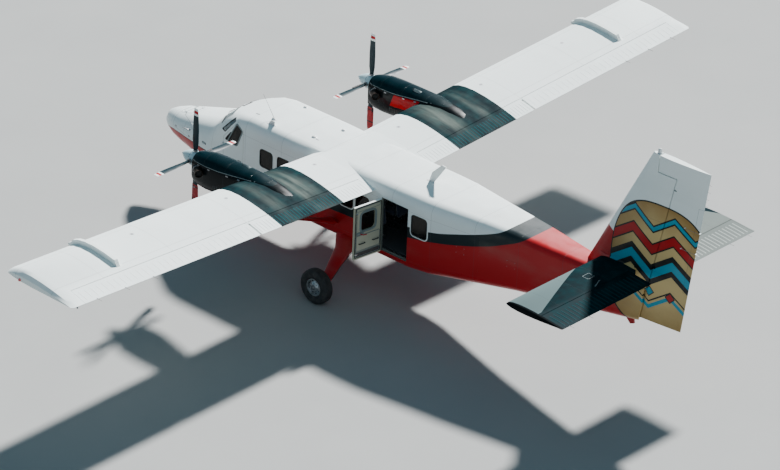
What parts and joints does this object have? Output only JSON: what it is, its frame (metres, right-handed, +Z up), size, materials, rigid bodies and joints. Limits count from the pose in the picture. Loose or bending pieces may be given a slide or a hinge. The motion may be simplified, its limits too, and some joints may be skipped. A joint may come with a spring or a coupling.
{
  "type": "high-wing twin-turboprop commuter airliner",
  "caption": "High-wing strut-braced airliner with two turboprop engines, fixed three-wheel gear, turning control surfaces and an open rear cabin door.",
  "frame": {"origin": "middle of the length and span, at ground level under the tyres", "axes": "+X to port along the span, +Y aft from nose to tail, +Z up"},
  "size_m": [19.819, 15.77, 5.95],
  "materials": {
    "paint_white": "gloss",
    "paint_red": "gloss",
    "paint_dark": "satin",
    "bare_alloy": "satin",
    "engine_metal": "matte",
    "blade_black": "satin",
    "boot_red": "matte",
    "tyre_rubber": "matte",
    "interior": "matte",
    "interior_panel": "matte",
    "cockpit_trim": "matte",
    "seat_fabric": "matte",
    "glazing": "gloss"
  },
  "bodies": {
    "airframe": {"fuselage_nose": "paint_white", "fuselage_cabin": "paint_white", "fuselage_tail": "paint_white", "cabin_floor": "interior", "cockpit_bulkhead": "interior_panel", "rear_bulkhead": "interior_panel", "instrument_panel": "cockpit_trim", "control_column": "cockpit_trim", "crew_seat_port": "seat_fabric", "crew_seat_starboard": "seat_fabric", "windshield_port": "glazing", "windshield_starboard": "glazing", "cabin_seats_port": "seat_fabric", "cabin_seats_starboard": "seat_fabric", "wing_centre": "paint_white", "wing_port": "paint_white", "wing_starboard": "paint_white", "strut_port": "paint_red", "strut_starboard": "paint_red", "nacelle_port": "paint_dark", "nacelle_starboard": "paint_dark", "engine_port": "engine_metal", "engine_starboard": "engine_metal", "fin": "paint_white", "tailplane_port": "paint_dark", "tailplane_starboard": "paint_dark", "main_leg_port": "paint_red", "main_leg_starboard": "paint_red", "nose_leg": "paint_red", "tail_bumper": "bare_alloy", "antenna": "paint_white"},
    "flap_port": {"flap_port": "paint_white"},
    "flap_starboard": {"flap_starboard": "paint_white"},
    "aileron_port": {"aileron_port": "paint_white"},
    "aileron_starboard": {"aileron_starboard": "paint_white"},
    "elevator_port": {"elevator_port": "paint_dark"},
    "elevator_starboard": {"elevator_starboard": "paint_dark"},
    "rudder": {"rudder": "paint_white"},
    "propeller_port": {"propeller_port": "blade_black", "propeller_boot_port": "boot_red"},
    "propeller_starboard": {"propeller_starboard": "blade_black", "propeller_boot_starboard": "boot_red"},
    "main_wheel_port": {"main_tyre_port": "tyre_rubber", "main_rim_port": "bare_alloy"},
    "main_wheel_starboard": {"main_tyre_starboard": "tyre_rubber", "main_rim_starboard": "bare_alloy"},
    "nose_fork": {"nose_fork": "paint_red"},
    "nose_wheel": {"nose_tyre": "tyre_rubber", "nose_rim": "bare_alloy"},
    "cabin_door_port": {"cabin_door_port": "paint_white"},
    "cabin_door_starboard": {"cabin_door_starboard": "paint_white"},
    "crew_door_port": {"crew_door_port": "paint_white"},
    "crew_door_starboard": {"crew_door_starboard": "paint_white"}
  },
  "joints": [
    {"name": "propeller_port_spin", "type": "hinge", "parent": "airframe", "child": "propeller_port", "pos_m": [2.827, -4.14, 2.831], "axis": [0, 1, 0], "continuous": true},
    {"name": "propeller_starboard_spin", "type": "hinge", "parent": "airframe", "child": "propeller_starboard", "pos_m": [-2.827, -4.14, 2.831], "axis": [0, 1, 0], "continuous": true},
    {"name": "main_wheel_port_spin", "type": "hinge", "parent": "airframe", "child": "main_wheel_port", "pos_m": [1.855, -1.285, 0.40941], "axis": [1, 0, 0], "continuous": true},
    {"name": "main_wheel_starboard_spin", "type": "hinge", "parent": "airframe", "child": "main_wheel_starboard", "pos_m": [-1.855, -1.285, 0.40941], "axis": [1, 0, 0], "continuous": true},
    {"name": "nose_steer", "type": "hinge", "parent": "airframe", "child": "nose_fork", "pos_m": [0, -5.815, 0.6], "axis": [0, 0, 1], "range_deg": [-60, 60]},
    {"name": "nose_wheel_spin", "type": "hinge", "parent": "nose_fork", "child": "nose_wheel", "pos_m": [0, -5.815, 0.34283], "axis": [1, 0, 0], "continuous": true},
    {"name": "flap_port_hinge", "type": "hinge", "parent": "airframe", "child": "flap_port", "pos_m": [0.00227, -0.99442, 2.71176], "axis": [0.9986, 0, 0.0523], "range_deg": [-38, 0]},
    {"name": "flap_starboard_hinge", "type": "hinge", "parent": "airframe", "child": "flap_starboard", "pos_m": [-0.00227, -0.99442, 2.71176], "axis": [0.9986, 0, -0.0523], "range_deg": [-38, 0]},
    {"name": "aileron_port_hinge", "type": "hinge", "parent": "airframe", "child": "aileron_port", "pos_m": [0.00227, -0.99442, 2.71176], "axis": [0.9986, 0, 0.0523], "range_deg": [-18, 18]},
    {"name": "aileron_starboard_hinge", "type": "hinge", "parent": "airframe", "child": "aileron_starboard", "pos_m": [-0.00227, -0.99442, 2.71176], "axis": [0.9986, 0, -0.0523], "range_deg": [-18, 18]},
    {"name": "elevator_port_hinge", "type": "hinge", "parent": "airframe", "child": "elevator_port", "pos_m": [0, 6.185, 3.095], "axis": [1, 0, 0], "range_deg": [-14, 25]},
    {"name": "elevator_starboard_hinge", "type": "hinge", "parent": "airframe", "child": "elevator_starboard", "pos_m": [0, 6.185, 3.095], "axis": [1, 0, 0], "range_deg": [-14, 25]},
    {"name": "rudder_hinge", "type": "hinge", "parent": "airframe", "child": "rudder", "pos_m": [0, 6.401, 2.08], "axis": [0, 0.1934, 0.9811], "range_deg": [-18, 18]},
    {"name": "cabin_door_port_hinge", "type": "hinge", "parent": "airframe", "child": "cabin_door_port", "pos_m": [0.89, -0.357, 1.32], "axis": [0, 0, 1], "range_deg": [0, 97]},
    {"name": "cabin_door_starboard_hinge", "type": "hinge", "parent": "airframe", "child": "cabin_door_starboard", "pos_m": [-0.89, -0.317, 1.32], "axis": [0, 0, 1], "range_deg": [0, 95]},
    {"name": "crew_door_port_hinge", "type": "hinge", "parent": "airframe", "child": "crew_door_port", "pos_m": [0.859, -5.257, 1.5], "axis": [0, 0, -1], "range_deg": [0, 80]},
    {"name": "crew_door_starboard_hinge", "type": "hinge", "parent": "airframe", "child": "crew_door_starboard", "pos_m": [-0.859, -5.257, 1.5], "axis": [0, 0, 1], "range_deg": [0, 80]}
  ],
  "couplings": [
    {"joint": "flap_starboard_hinge", "follows": "flap_port_hinge", "ratio": 1},
    {"joint": "aileron_starboard_hinge", "follows": "aileron_port_hinge", "ratio": -1},
    {"joint": "elevator_starboard_hinge", "follows": "elevator_port_hinge", "ratio": 1}
  ]
}
